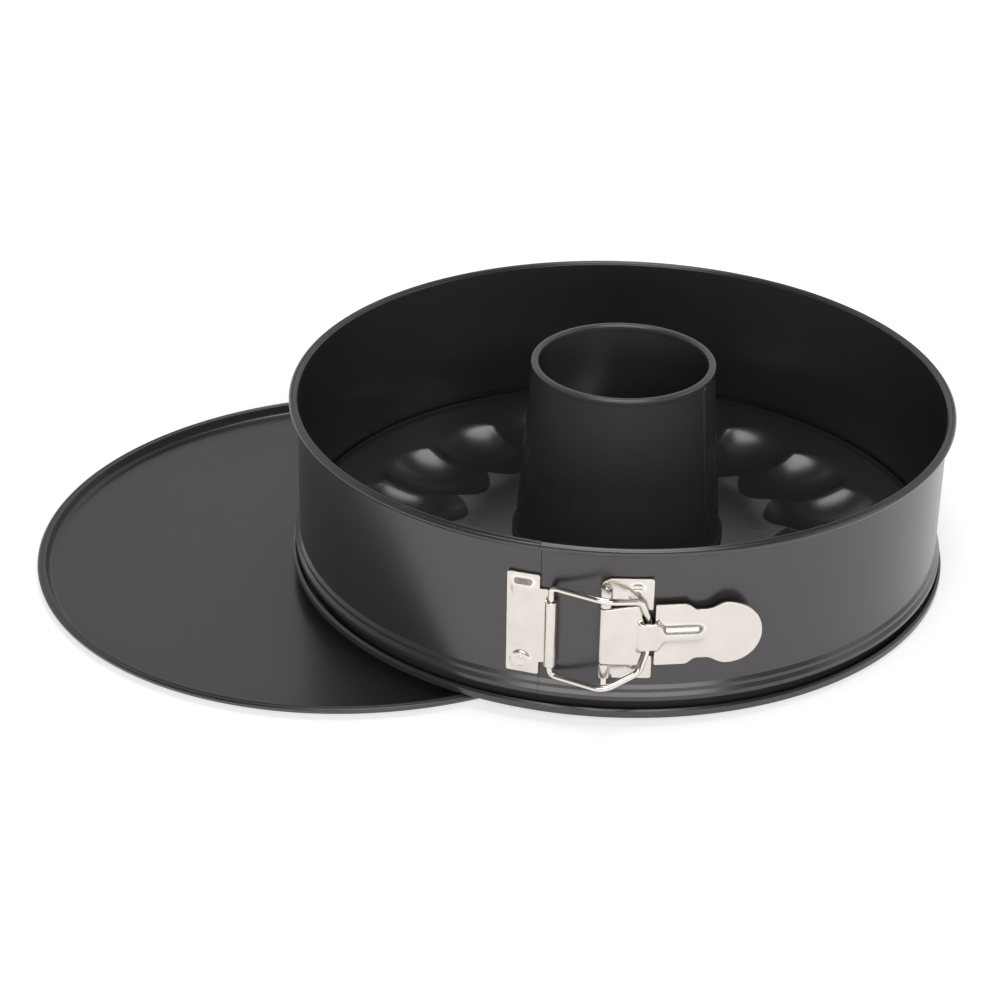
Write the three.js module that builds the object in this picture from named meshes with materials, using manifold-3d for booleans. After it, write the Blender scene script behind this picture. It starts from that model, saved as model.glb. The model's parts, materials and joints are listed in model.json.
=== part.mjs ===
// Springform tube pan with a spare flat base, in millimetres, +Z up.
// The pan leans a little because its foot rests on the lip of the flat base lying beside it.
import * as THREE from 'three';
import { mergeVertices } from 'three/addons/utils/BufferGeometryUtils.js';
import Module from 'manifold-3d';

const wasm = await Module();
wasm.setup();

// Driving sizes
const INNER_DIAMETER = 260;
const RING_HEIGHT = 70.6;
const SHEET = 0.6;
const GAP = 0.3;
const RUNNING_GAP = 0.2;
const RIM_WIDTH = 3.6;
const RIM_THICK = 2.3;

// Ring band
const R_IN = INNER_DIAMETER / 2;
const R_OUT = R_IN + SHEET;
const R_RIM = R_IN + RIM_WIDTH;
const RING_BOTTOM = 7.4;
const STEP_UPPER_Z = 12;
const STEP_LOWER_Z = 9.2;
const STEP_OUT = 0.95;
const SEAM_AZ = -14;
const HINGE_AZ = 180;
const HINGE_HALF_GAP = 0.1;
const TONGUE_SWEEP = 8;
const TONGUE_CLEAR = 0.6;
const RING_SEGMENTS = 40;

// Tube base
const FLOOR_Z = 9.2;
const PLATEAU_Z = 7;
const EDGE_TOP_Z = 10.9;
const FLANGE_OUT = R_IN + 2.6;
const LIP_OUT = R_IN + 3.7;
const LIP_TOP = 3.8;
const LOBES = 18;
const LOBE_INNER = 63;
const LOBE_OUTER = 111.5;
const LOBE_HALF_ANGLE = 13.2;
const LOBE_DEPTH = 6;
const LOBE_POWER = 0.75;
const LOBE_TURN = 0.9;
const LOBE_FADE = 15;
const PLATE_SEGMENTS = LOBES * 4;

// Centre tube
const TUBE_TOP_Z = 83.8;
const TUBE_TOP_R = 37;
const TUBE_FOOT_R = 42.2;
const TUBE_RIM_WIDTH = 3.4;
const TUBE_RIM_THICK = 2;
const TUBE_BEAD = 1.2;
const TUBE_SEGMENTS = 48;
const TUBE_SEAM_AZ = 61.5;
const TUBE_SEAM_WIDTH = 2.2;
const TUBE_SEAM_RISE = 0.5;

// Flat base
const FLAT_X = -105.8;
const FLAT_Y = 4.8;
const FLAT_LIP_TOP = 4.2;
const FLAT_LIP_WIDTH = 2.7;
const FLAT_SLOPE_WIDTH = 3;

// Latch
const LATCH_Z = 36.5;
const PIN_AZ = -3.4;
const PIN_OFF = 3;
const PIN_R = 1.2;
const PIN_OVER = 3.1;
const BARREL_R = 2.4;
const BARREL_HALF = 11.5;
const KNUCKLE_LENGTH = 5.9;
const PLATE_THICK = 1;
const BRACKET_AZ = 0.7;
const BRACKET_WIDTH = 15.6;
const BRACKET_HEIGHT = 42;
const BRACKET_RISE = 1.5;
const BRACKET_SLOT_FROM = 4.2;
const BRACKET_SLOT_HALF = 9.6;
const KEEPER_AZ = -16.7;
const KEEPER_WIDTH = 12.6;
const KEEPER_HEIGHT = 42;
const KEEPER_TAB_HALF = 14;
const KEEPER_PIVOT_AZ = -12;
const KEEPER_PIVOT_OFF = 2.75;
const CURL_THICK = 0.9;
const PLATE_CORNER = 2;
const WIRE_R = 1.25;
const WIRE_SIDES = 8;
const BAIL_K_UP = 17.6;
const BAIL_K_DOWN = 19.4;
const BAIL_K_ROUND = 2.4;
const BAIL_APEX_T = 0.3;
const BAIL_APEX_N = 10.6;
const BAIL_APEX_UP = 18;
const BAIL_APEX_DOWN = 19.2;
const BAIL_APEX_ROUND = 4;
const BAIL_SHOULDER_T = 12.8;
const BAIL_SHOULDER_N = 3.8;
const BAIL_SHOULDER_HALF = 15;
const BAIL_SHOULDER_ROUND = 2.6;
const BAIL_END_T = 15.6;
const BAIL_END_HALF = 6.2;
const BAIL_END_ROUND = 1.6;
const LEVER_CLOSE = 10.5;
const LEVER_THICK = 1.2;
const LEVER_HALF = 12.7;
const NOTCH_FROM = 13.6;
const NOTCH_TO = 17.9;
const NOTCH_FLARE = 2.2;
const NOTCH_HALF = 11.9;
const NECK_HALF = 5.6;
const NECK_RISE = 1.3;
const NECK_RAMP = 2.4;
const NECK_LAND = 1;
const WAIST_T = 36;
const WAIST_HALF = 10.2;
const WAIST_FLARE = 6.5;
const TAB_T = 44.7;
const TAB_R = 12.8;
const RIB_FROM = 19.5;
const RIB_TO = 35;
const RIB_HALF = 3.4;
const RIB_RISE = 1.2;
const RIVET_HEAD_R = 2.3;
const RIVET_SHANK_R = 1.2;
const RIVET_HEAD = 0.5;
const RIVET_EDGE = 5;

const rad = THREE.MathUtils.degToRad;

// Point at radius r, azimuth az (degrees from the front, growing to the right) and height z
function polar(r, az, z) {
  return [r * Math.sin(rad(az)), -r * Math.cos(rad(az)), z];
}

function geometryOf(positions, indices) {
  const geometry = new THREE.BufferGeometry();
  geometry.setAttribute('position', new THREE.Float32BufferAttribute(positions, 3));
  geometry.setIndex(indices);
  return geometry;
}

function toSolid(source) {
  let geometry = source.clone();
  for (const name of Object.keys(geometry.attributes)) {
    if (name !== 'position') geometry.deleteAttribute(name);
  }
  geometry = mergeVertices(geometry, 1e-5);
  const mesh = new wasm.Mesh({
    numProp: 3,
    vertProperties: new Float32Array(geometry.attributes.position.array),
    triVerts: new Uint32Array(geometry.index.array),
  });
  return new wasm.Manifold(mesh);
}

function fromSolid(solid) {
  const mesh = solid.getMesh();
  return geometryOf(Array.from(mesh.vertProperties), Array.from(mesh.triVerts));
}

function joinAll(first, ...others) {
  return others.reduce((sum, next) => sum.add(next), first);
}

// Closed body from a closed (r, z) outline carried round the axis; the outline may change with azimuth
function sweepRound(outlineAt, from, to, steps) {
  const full = Math.abs(to - from) === 360;
  const rows = full ? steps : steps + 1;
  const count = outlineAt(from).length;
  const positions = [];
  const indices = [];
  for (let i = 0; i < rows; i += 1) {
    const az = from + ((to - from) * i) / steps;
    for (const [r, z] of outlineAt(az)) positions.push(...polar(r, az, z));
  }
  for (let i = 0; i < steps; i += 1) {
    const next = (i + 1) % rows;
    for (let j = 0; j < count; j += 1) {
      const k = (j + 1) % count;
      const a = i * count + j;
      const b = i * count + k;
      const c = next * count + j;
      const d = next * count + k;
      indices.push(a, c, b, b, c, d);
    }
  }
  if (!full) {
    const contour = outlineAt(from).map(([r, z]) => new THREE.Vector2(r, z));
    const last = steps * count;
    for (const [a, b, c] of THREE.ShapeUtils.triangulateShape(contour, [])) {
      indices.push(a, b, c, last + a, last + c, last + b);
    }
  }
  return geometryOf(positions, indices);
}

// Solid disc from an outline that starts and ends on the axis
function revolveDisc(outline, steps) {
  const inner = outline.slice(1, -1);
  const count = inner.length;
  const positions = [];
  const indices = [];
  for (let i = 0; i < steps; i += 1) {
    for (const [r, z] of inner) positions.push(...polar(r, (360 * i) / steps, z));
  }
  const start = steps * count;
  positions.push(0, 0, outline[0][1], 0, 0, outline[outline.length - 1][1]);
  for (let i = 0; i < steps; i += 1) {
    const next = (i + 1) % steps;
    for (let j = 0; j + 1 < count; j += 1) {
      const a = i * count + j;
      const c = next * count + j;
      indices.push(a, c, a + 1, a + 1, c, c + 1);
    }
    indices.push(start, next * count, i * count);
    indices.push(start + 1, i * count + count - 1, next * count + count - 1);
  }
  return geometryOf(positions, indices);
}

// Frame standing on the band's outer face: x along the band, y up, z outward
function latchFrame(az) {
  const out = new THREE.Vector3(...polar(1, az, 0));
  const along = new THREE.Vector3(Math.cos(rad(az)), Math.sin(rad(az)), 0);
  const up = new THREE.Vector3(0, 0, 1);
  const matrix = new THREE.Matrix4().makeBasis(along, up, out);
  return matrix.setPosition(out.multiplyScalar(R_OUT).add(new THREE.Vector3(0, 0, LATCH_Z)));
}

function placed(geometry, az) {
  return geometry.clone().applyMatrix4(latchFrame(az));
}

// Flat piece cut from a shape, its inner face at height n over the band
function plate(shape, n, thick, curveSegments = 6) {
  const settings = { depth: thick, bevelEnabled: false, curveSegments };
  return new THREE.ExtrudeGeometry(shape, settings).translate(0, 0, n);
}

function roundedRect(x0, y0, x1, y1, corner) {
  const shape = new THREE.Shape();
  shape.moveTo(x0 + corner, y0);
  shape.lineTo(x1 - corner, y0);
  shape.quadraticCurveTo(x1, y0, x1, y0 + corner);
  shape.lineTo(x1, y1 - corner);
  shape.quadraticCurveTo(x1, y1, x1 - corner, y1);
  shape.lineTo(x0 + corner, y1);
  shape.quadraticCurveTo(x0, y1, x0, y1 - corner);
  shape.lineTo(x0, y0 + corner);
  shape.quadraticCurveTo(x0, y0, x0 + corner, y0);
  return shape;
}

// Upright cylinder in a latch frame, at (t, n) from its foot point
function upright(r, y0, y1, t, n, sides = 16) {
  return new THREE.CylinderGeometry(r, r, y1 - y0, sides).translate(t, (y0 + y1) / 2, n);
}

// Short cylinder standing outward from the band
function outward(r, n0, n1, t, y, sides = 12) {
  const cylinder = new THREE.CylinderGeometry(r, r, n1 - n0, sides).rotateX(Math.PI / 2);
  return cylinder.translate(t, y, (n0 + n1) / 2);
}

// Ring band: one outline for both halves, with the rolled rim on top and two steps at the foot
function bandOutline() {
  const under = RING_HEIGHT - RIM_THICK;
  const r1 = R_OUT + STEP_OUT;
  const r2 = r1 + STEP_OUT;
  return [
    [r2 - SHEET, RING_BOTTOM],
    [r2, RING_BOTTOM],
    [r2, STEP_LOWER_Z - 0.3],
    [r1 + 0.15, STEP_LOWER_Z + 0.3],
    [r1, STEP_UPPER_Z - 0.3],
    [R_OUT + 0.1, STEP_UPPER_Z + 0.3],
    [R_OUT, STEP_UPPER_Z + 1],
    [R_OUT, under + 0.2],
    [R_OUT + 0.4, under],
    [R_RIM - 0.8, under],
    [R_RIM - 0.2, under + 0.4],
    [R_RIM, under + RIM_THICK / 2],
    [R_RIM - 0.3, RING_HEIGHT - 0.4],
    [R_RIM - 1, RING_HEIGHT],
    [R_IN + 0.9, RING_HEIGHT],
    [R_IN + 0.2, RING_HEIGHT - 0.3],
    [R_IN, RING_HEIGHT - 0.9],
    [R_IN, STEP_UPPER_Z],
    [r1 - SHEET, STEP_UPPER_Z - 0.6],
    [r1 - SHEET, STEP_LOWER_Z + 0.1],
    [r2 - SHEET, STEP_LOWER_Z - 0.5],
  ];
}

const gapAngle = THREE.MathUtils.radToDeg(HINGE_HALF_GAP / R_IN);
const seamHalf = THREE.MathUtils.radToDeg(GAP / 2 / R_IN);
const bandLeft = sweepRound(
  bandOutline, HINGE_AZ - 360 + gapAngle, SEAM_AZ - seamHalf, RING_SEGMENTS);
const bandRight = sweepRound(
  bandOutline, SEAM_AZ + seamHalf, HINGE_AZ - gapAngle, RING_SEGMENTS);

// Plain tongue of the right half that slides inside the left half, set in by a joggle at the seam
function tongueOutline(inset) {
  const outer = R_OUT - inset;
  const low = STEP_UPPER_Z + 2;
  const high = RING_HEIGHT - RIM_THICK - 2;
  return [[outer - SHEET, low], [outer, low], [outer, high], [outer - SHEET, high]];
}
const tongueInset = SHEET + TONGUE_CLEAR;
const tongue = sweepRound(
  (az) => tongueOutline(tongueInset * THREE.MathUtils.clamp((SEAM_AZ + 1.2 - az) / 1.1, 0, 1)),
  SEAM_AZ - TONGUE_SWEEP, SEAM_AZ + 1.2, 18);

// Rivets through a latch plate and the band
function rivetSites({ t, height, rise }) {
  const spread = height / 2 - RIVET_EDGE;
  return [[t, rise + spread], [t, rise - spread]];
}
const rivetHoleR = RIVET_SHANK_R + GAP;
function rivetHoles(az, row) {
  const cut = ([x, y]) => toSolid(placed(outward(rivetHoleR, -4, 4, x, y), az));
  return rivetSites(row).map(cut);
}
function rivet(az, [t, y]) {
  const top = GAP + PLATE_THICK + GAP / 2;
  const foot = -SHEET - GAP;
  const shank = outward(RIVET_SHANK_R, foot - RIVET_HEAD / 2, top + RIVET_HEAD / 2, t, y);
  const head = outward(RIVET_HEAD_R, top, top + RIVET_HEAD, t, y);
  const inner = outward(RIVET_HEAD_R, foot - RIVET_HEAD, foot, t, y);
  return fromSolid(joinAll(...[shank, head, inner].map((g) => toSolid(placed(g, az)))));
}
const keeperRivets = { t: -0.5, height: KEEPER_HEIGHT, rise: 0 };
const bracketRivets = { t: 2, height: BRACKET_HEIGHT, rise: BRACKET_RISE };

const keeperHoles = rivetHoles(KEEPER_AZ, keeperRivets);
const bracketHoles = rivetHoles(BRACKET_AZ, bracketRivets);
const ringLeft = keeperHoles.reduce((body, hole) => body.subtract(hole), toSolid(bandLeft));
const ringRight = bracketHoles.reduce(
  (body, hole) => body.subtract(hole), toSolid(bandRight).add(toSolid(tongue)));
const tongueSlots = keeperHoles.map((hole) => {
  const wide = hole.boundingBox();
  const size = [...wide.max].map((top, i) => top - wide.min[i] + (i === 2 ? 2 : 4));
  const middle = [...wide.max].map((top, i) => (top + wide.min[i]) / 2);
  return toSolid(new THREE.BoxGeometry(...size).translate(...middle));
});
const ringRightBody = tongueSlots.reduce((body, slot) => body.subtract(slot), ringRight);

// Point of a latch pivot in the pin's frame
function inPinFrame(r, az) {
  const turn = rad(az - PIN_AZ);
  return [r * Math.sin(turn), r * Math.cos(turn) - R_OUT];
}
const [keeperT, keeperN] = inPinFrame(R_OUT + KEEPER_PIVOT_OFF, KEEPER_PIVOT_AZ);
const boreR = PIN_R + RUNNING_GAP;
const knuckleFrom = BARREL_HALF + GAP;
const knuckleTo = knuckleFrom + KNUCKLE_LENGTH;

// Keeper: plate, middle tab and the curl that holds the wire
function keeperSolid() {
  const half = KEEPER_HEIGHT / 2;
  const w = KEEPER_WIDTH / 2;
  const outline = roundedRect(-w, -half, w, half, PLATE_CORNER);
  const sheet = toSolid(placed(plate(outline, GAP, PLATE_THICK), KEEPER_AZ));
  const curlR = WIRE_R + RUNNING_GAP + CURL_THICK;
  const turn = rad(KEEPER_PIVOT_AZ - KEEPER_AZ);
  const r = R_OUT + KEEPER_PIVOT_OFF;
  const t = r * Math.sin(turn);
  const n = r * Math.cos(turn) - R_OUT;
  const reach = new THREE.BoxGeometry(t - w + 2, 2 * KEEPER_TAB_HALF, CURL_THICK);
  const web = placed(reach.translate((t + w) / 2 - 1, 0, n - curlR + CURL_THICK / 2), KEEPER_AZ);
  const curl = placed(upright(curlR, -KEEPER_TAB_HALF, KEEPER_TAB_HALF, t, n), KEEPER_AZ);
  const bore = placed(upright(WIRE_R + RUNNING_GAP, -half, half, t, n), KEEPER_AZ);
  const body = joinAll(sheet, toSolid(web), toSolid(curl)).subtract(toSolid(bore));
  return keeperHoles.reduce((sum, hole) => sum.subtract(hole), body);
}

// Lever bracket: plate with two knuckles rolled round the pin and a slot that clears the wire's end
function bracketSolid() {
  const half = BRACKET_HEIGHT / 2;
  const w = BRACKET_WIDTH / 2;
  const outline = roundedRect(-w, -half + BRACKET_RISE, w, half + BRACKET_RISE, PLATE_CORNER);
  let body = toSolid(placed(plate(outline, GAP, PLATE_THICK), BRACKET_AZ));
  for (const side of [-1, 1]) {
    const y0 = Math.min(side * knuckleFrom, side * knuckleTo);
    const y1 = Math.max(side * knuckleFrom, side * knuckleTo);
    const web = new THREE.BoxGeometry(4.4, y1 - y0, PLATE_THICK);
    web.translate(2, (y0 + y1) / 2, PIN_OFF - BARREL_R + PLATE_THICK / 2);
    const knuckle = upright(BARREL_R, y0, y1, 0, PIN_OFF);
    body = joinAll(body, toSolid(placed(web, PIN_AZ)), toSolid(placed(knuckle, PIN_AZ)));
  }
  const bore = upright(boreR, -half - 4, half + 4, 0, PIN_OFF);
  const room = upright(BARREL_R + GAP, -knuckleFrom, knuckleFrom, 0, PIN_OFF);
  body = body.subtract(toSolid(placed(bore, PIN_AZ))).subtract(toSolid(placed(room, PIN_AZ)));
  const slot = new THREE.BoxGeometry(2 * (w - BRACKET_SLOT_FROM), 2 * BRACKET_SLOT_HALF, 4 * PLATE_THICK);
  body = body.subtract(toSolid(placed(slot.translate(w, 0, PLATE_THICK / 2), BRACKET_AZ)));
  return bracketHoles.reduce((sum, hole) => sum.subtract(hole), body);
}

// Lever: barrel on the pin, plate, neck bridged over the wire, arm with a rib, waist and round thumb tab.
// Its own frame has the pin at the origin, x along the arm and z outward.
const leverInner = BARREL_R - LEVER_THICK;
function leverPlate() {
  const shape = new THREE.Shape();
  shape.moveTo(0, -BARREL_HALF);
  shape.lineTo(NOTCH_FROM - NOTCH_FLARE, -NOTCH_HALF);
  shape.lineTo(NOTCH_FROM, -NECK_HALF);
  shape.lineTo(NOTCH_FROM, NECK_HALF);
  shape.lineTo(NOTCH_FROM - NOTCH_FLARE, NOTCH_HALF);
  shape.lineTo(0, BARREL_HALF);
  return shape;
}
function leverArm() {
  const shape = new THREE.Shape();
  const low = WAIST_HALF + 0.6;
  const side = Math.sqrt(TAB_R ** 2 - low ** 2);
  const tabAngle = Math.atan2(low, -side);
  shape.moveTo(NOTCH_TO, -LEVER_HALF);
  shape.lineTo(WAIST_T - WAIST_FLARE, -LEVER_HALF);
  shape.quadraticCurveTo(WAIST_T - WAIST_FLARE / 2, -WAIST_HALF, WAIST_T, -WAIST_HALF);
  shape.lineTo(TAB_T - side, -low);
  shape.absarc(TAB_T, 0, TAB_R, -tabAngle, tabAngle, false);
  shape.lineTo(WAIST_T, WAIST_HALF);
  shape.quadraticCurveTo(WAIST_T - WAIST_FLARE / 2, WAIST_HALF, WAIST_T - WAIST_FLARE, LEVER_HALF);
  shape.lineTo(NOTCH_TO, LEVER_HALF);
  return shape;
}
const neckFrom = NOTCH_FROM - NECK_LAND - NECK_RAMP;
const neckTo = NOTCH_TO + NECK_LAND + NECK_RAMP;
function leverNeck() {
  const shape = new THREE.Shape();
  const outer = leverInner + LEVER_THICK;
  const lap = NECK_LAND / 2;
  shape.moveTo(neckFrom, leverInner);
  shape.lineTo(neckFrom + lap, leverInner);
  shape.lineTo(neckFrom + NECK_RAMP + lap, leverInner + NECK_RISE);
  shape.lineTo(neckTo - NECK_RAMP - lap, leverInner + NECK_RISE);
  shape.lineTo(neckTo - lap, leverInner);
  shape.lineTo(neckTo, leverInner);
  shape.lineTo(neckTo, outer);
  shape.lineTo(neckTo - NECK_RAMP, outer + NECK_RISE);
  shape.lineTo(neckFrom + NECK_RAMP, outer + NECK_RISE);
  shape.lineTo(neckFrom, outer);
  return plate(shape, -NECK_HALF, 2 * NECK_HALF).rotateX(Math.PI / 2);
}
function leverSolid() {
  const sheet = [leverPlate(), leverArm()].map((shape) => toSolid(plate(shape, leverInner, LEVER_THICK)));
  const open = new THREE.BoxGeometry(neckTo - neckFrom - NECK_LAND, 2 * NECK_HALF, 4 * LEVER_THICK);
  const window = toSolid(open.translate((neckFrom + neckTo) / 2, 0, leverInner));
  const barrel = toSolid(upright(BARREL_R, -BARREL_HALF, BARREL_HALF, 0, 0));
  const ribShape = roundedRect(RIB_FROM, -RIB_HALF, RIB_TO, RIB_HALF, RIB_HALF * 0.8);
  const rib = toSolid(plate(ribShape, leverInner + LEVER_THICK / 2, LEVER_THICK / 2 + RIB_RISE));
  const bore = toSolid(upright(boreR, -BARREL_HALF - 2, BARREL_HALF + 2, 0, 0));
  const flat = joinAll(...sheet).subtract(window);
  return joinAll(flat, toSolid(leverNeck()), rib, barrel).subtract(bore);
}
function leverClosed() {
  const turned = fromSolid(leverSolid()).rotateY(rad(LEVER_CLOSE));
  return placed(turned.translate(0, 0, PIN_OFF), PIN_AZ);
}

// Wire bail: one closed loop, its corners rounded, swept with a round section
const neckInner = leverInner + NECK_RISE - RUNNING_GAP - WIRE_R;
const bailEndN =
  PIN_OFF + neckInner * Math.cos(rad(LEVER_CLOSE)) - BAIL_END_T * Math.sin(rad(LEVER_CLOSE));
function bailCorners() {
  return [
    [keeperT, BAIL_K_UP, keeperN, BAIL_K_ROUND],
    [BAIL_APEX_T, BAIL_APEX_UP, BAIL_APEX_N, BAIL_APEX_ROUND],
    [BAIL_SHOULDER_T, BAIL_SHOULDER_HALF, BAIL_SHOULDER_N, BAIL_SHOULDER_ROUND],
    [BAIL_END_T, BAIL_END_HALF, bailEndN, BAIL_END_ROUND],
    [BAIL_END_T, -BAIL_END_HALF, bailEndN, BAIL_END_ROUND],
    [BAIL_SHOULDER_T, -BAIL_SHOULDER_HALF, BAIL_SHOULDER_N, BAIL_SHOULDER_ROUND],
    [BAIL_APEX_T, -BAIL_APEX_DOWN, BAIL_APEX_N, BAIL_APEX_ROUND],
    [keeperT, -BAIL_K_DOWN, keeperN, BAIL_K_ROUND],
  ].map(([t, y, n, round]) => ({ at: new THREE.Vector3(t, y, n), round }));
}
function bailPath() {
  const corners = bailCorners();
  const points = [];
  corners.forEach(({ at, round }, i) => {
    const before = corners.at(i - 1).at;
    const after = corners[(i + 1) % corners.length].at;
    const start = at.clone().addScaledVector(before.clone().sub(at).normalize(), round);
    const end = at.clone().addScaledVector(after.clone().sub(at).normalize(), round);
    points.push(...new THREE.QuadraticBezierCurve3(start, at, end).getPoints(4));
  });
  return points;
}
function wireLoop(points, r, sides) {
  const positions = [];
  const indices = [];
  const outwardAxis = new THREE.Vector3(0, 0, 1);
  points.forEach((point, i) => {
    const ahead = points[(i + 1) % points.length].clone().sub(point).normalize();
    const behind = point.clone().sub(points.at(i - 1)).normalize();
    const along = ahead.add(behind).normalize();
    const side = new THREE.Vector3().crossVectors(along, outwardAxis).normalize();
    const up = new THREE.Vector3().crossVectors(side, along);
    for (let k = 0; k < sides; k += 1) {
      const angle = (2 * Math.PI * k) / sides;
      const rim = point.clone().addScaledVector(side, r * Math.cos(angle));
      positions.push(...rim.addScaledVector(up, r * Math.sin(angle)).toArray());
    }
  });
  for (let i = 0; i < points.length; i += 1) {
    const next = (i + 1) % points.length;
    for (let k = 0; k < sides; k += 1) {
      const a = i * sides + k;
      const b = i * sides + ((k + 1) % sides);
      const c = next * sides + k;
      const d = next * sides + ((k + 1) % sides);
      indices.push(a, c, b, b, c, d);
    }
  }
  return geometryOf(positions, indices);
}

// Tube base: plateau round the tube, a ring of sunk petals, floor, edge, riser, drip channel and lip
function lobeDrop(r, az) {
  const pitch = 360 / LOBES;
  const turned = az - LOBE_TURN;
  const off = turned - pitch * Math.round(turned / pitch);
  const middle = (LOBE_INNER + LOBE_OUTER) / 2;
  const u = (r - middle) / (LOBE_OUTER - middle);
  const rest = 1 - u * u - (off / LOBE_HALF_ANGLE) ** 2;
  return rest > 0 ? LOBE_DEPTH * rest ** LOBE_POWER : 0;
}
function floorHeight(r, az) {
  const share = THREE.MathUtils.smoothstep(r, LOBE_INNER - 3, LOBE_INNER - 3 + LOBE_FADE);
  return PLATEAU_Z + (FLOOR_Z - PLATEAU_Z) * share - lobeDrop(r, az);
}
const holeR = TUBE_FOOT_R + GAP;
const edgeOut = R_OUT + STEP_OUT - SHEET - GAP - 0.05;
function baseOutline(az) {
  const span = LOBE_OUTER - LOBE_INNER;
  const between = [0.05, 0.17, 0.33, 0.56, 0.76, 0.9, 0.98].map((share) => LOBE_INNER + span * share);
  const radii = [holeR, LOBE_INNER - 3, ...between, LOBE_OUTER + 2];
  const upper = radii.map((r) => [r, floorHeight(r, az)]);
  const lower = radii.map((r) => [r, floorHeight(r, az) - SHEET]).reverse();
  const riser = edgeOut - 1.6;
  return [
    ...lower,
    ...upper,
    [edgeOut - 1.1, FLOOR_Z],
    [edgeOut - 0.7, EDGE_TOP_Z],
    [edgeOut, EDGE_TOP_Z],
    [edgeOut, FLOOR_Z],
    [riser + SHEET, FLOOR_Z - 1.2],
    [riser + SHEET, SHEET],
    [FLANGE_OUT - 0.2, SHEET],
    [LIP_OUT - 1.3, 1.1],
    [LIP_OUT - 1.3, LIP_TOP - 0.4],
    [LIP_OUT - 0.9, LIP_TOP],
    [LIP_OUT - 0.3, LIP_TOP - 0.2],
    [LIP_OUT, LIP_TOP - 0.8],
    [LIP_OUT, 1.2],
    [FLANGE_OUT, 0],
    [riser, 0],
    [riser, FLOOR_Z - SHEET],
  ];
}
function counterClockwise(outline) {
  const contour = outline.map(([r, z]) => new THREE.Vector2(r, z));
  return THREE.ShapeUtils.isClockWise(contour) ? outline.reverse() : outline;
}
const baseGeometry = sweepRound((az) => counterClockwise(baseOutline(az)), 0, 360, PLATE_SEGMENTS);

// Centre tube: tapered, rim rolled inward, beaded above and below the plate, lap seam up its side
function tubeOutline() {
  const under = PLATEAU_Z - SHEET - GAP;
  const over = PLATEAU_Z + GAP;
  const rimLow = TUBE_TOP_Z - TUBE_RIM_THICK;
  return [
    [TUBE_FOOT_R - SHEET, under - TUBE_BEAD],
    [TUBE_FOOT_R + TUBE_BEAD, under - TUBE_BEAD],
    [TUBE_FOOT_R + TUBE_BEAD, under],
    [TUBE_FOOT_R, under],
    [TUBE_FOOT_R, over],
    [TUBE_FOOT_R + TUBE_BEAD * 0.8, over],
    [TUBE_FOOT_R + TUBE_BEAD, over + TUBE_BEAD * 0.6],
    [TUBE_FOOT_R + TUBE_BEAD * 0.7, over + TUBE_BEAD * 1.2],
    [TUBE_FOOT_R - 0.2, over + TUBE_BEAD * 1.5],
    [TUBE_TOP_R, rimLow + 0.3],
    [TUBE_TOP_R - 0.1, TUBE_TOP_Z - 0.5],
    [TUBE_TOP_R - 0.8, TUBE_TOP_Z],
    [TUBE_TOP_R - TUBE_RIM_WIDTH + 0.8, TUBE_TOP_Z],
    [TUBE_TOP_R - TUBE_RIM_WIDTH, TUBE_TOP_Z - TUBE_RIM_THICK / 2],
    [TUBE_TOP_R - TUBE_RIM_WIDTH + 0.8, rimLow],
    [TUBE_TOP_R - SHEET, rimLow],
    [TUBE_FOOT_R - SHEET, over + TUBE_BEAD * 1.5],
  ];
}
function tubeSeam() {
  const half = TUBE_SEAM_WIDTH / 2;
  const low = [TUBE_FOOT_R - 0.3, PLATEAU_Z + GAP + TUBE_BEAD * 1.5];
  const high = [TUBE_TOP_R - 0.1, TUBE_TOP_Z - TUBE_RIM_THICK];
  const box = new THREE.BoxGeometry(TUBE_SEAM_WIDTH, 1, 1);
  const spot = box.attributes.position;
  for (let i = 0; i < spot.count; i += 1) {
    const [r, z] = spot.getZ(i) > 0 ? high : low;
    const reach = spot.getY(i) < 0 ? r + TUBE_SEAM_RISE : r - SHEET / 2;
    spot.setXYZ(i, Math.sign(spot.getX(i)) * half, -reach, z);
  }
  return box.rotateZ(rad(TUBE_SEAM_AZ));
}
const tubeBody = toSolid(sweepRound(tubeOutline, 0, 360, TUBE_SEGMENTS)).add(toSolid(tubeSeam()));

// Flat base: plain disc with a sloped edge and a rounded lip
const FLAT_R = LIP_OUT;
const slopeIn = FLAT_R - FLAT_LIP_WIDTH - FLAT_SLOPE_WIDTH;
const flatOutline = [
  [0, 0],
  [slopeIn - 0.2, 0],
  [FLAT_R - FLAT_LIP_WIDTH + 0.5, FLAT_LIP_TOP - 2.9],
  [FLAT_R - 0.6, FLAT_LIP_TOP - 3],
  [FLAT_R, FLAT_LIP_TOP - 2.3],
  [FLAT_R, FLAT_LIP_TOP - 0.8],
  [FLAT_R - 0.7, FLAT_LIP_TOP],
  [FLAT_R - 1.9, FLAT_LIP_TOP],
  [FLAT_R - FLAT_LIP_WIDTH, FLAT_LIP_TOP - 0.8],
  [slopeIn + 0.6, SHEET + 0.5],
  [slopeIn - 0.6, SHEET],
  [0, SHEET],
];

// Lean: the flange stands on the table at the right and on two points of the flat base's lip
const restR = FLANGE_OUT - 0.6;
const lipR = FLAT_R - 1.3;
const apart = Math.hypot(FLAT_X, FLAT_Y);
const contactX = (restR ** 2 - lipR ** 2 + apart ** 2) / (2 * apart);
const lean = Math.asin((FLAT_LIP_TOP + GAP) / (FLANGE_OUT + contactX));

const coated = { color: 0x3c3c3e, roughness: 0.42, metalness: 0.55 };
const nickel = { color: 0xcfc8bd, roughness: 0.28, metalness: 1 };
function named(name, geometry, look) {
  const mesh = new THREE.Mesh(geometry, new THREE.MeshStandardMaterial(look));
  mesh.name = name;
  return mesh;
}

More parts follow.
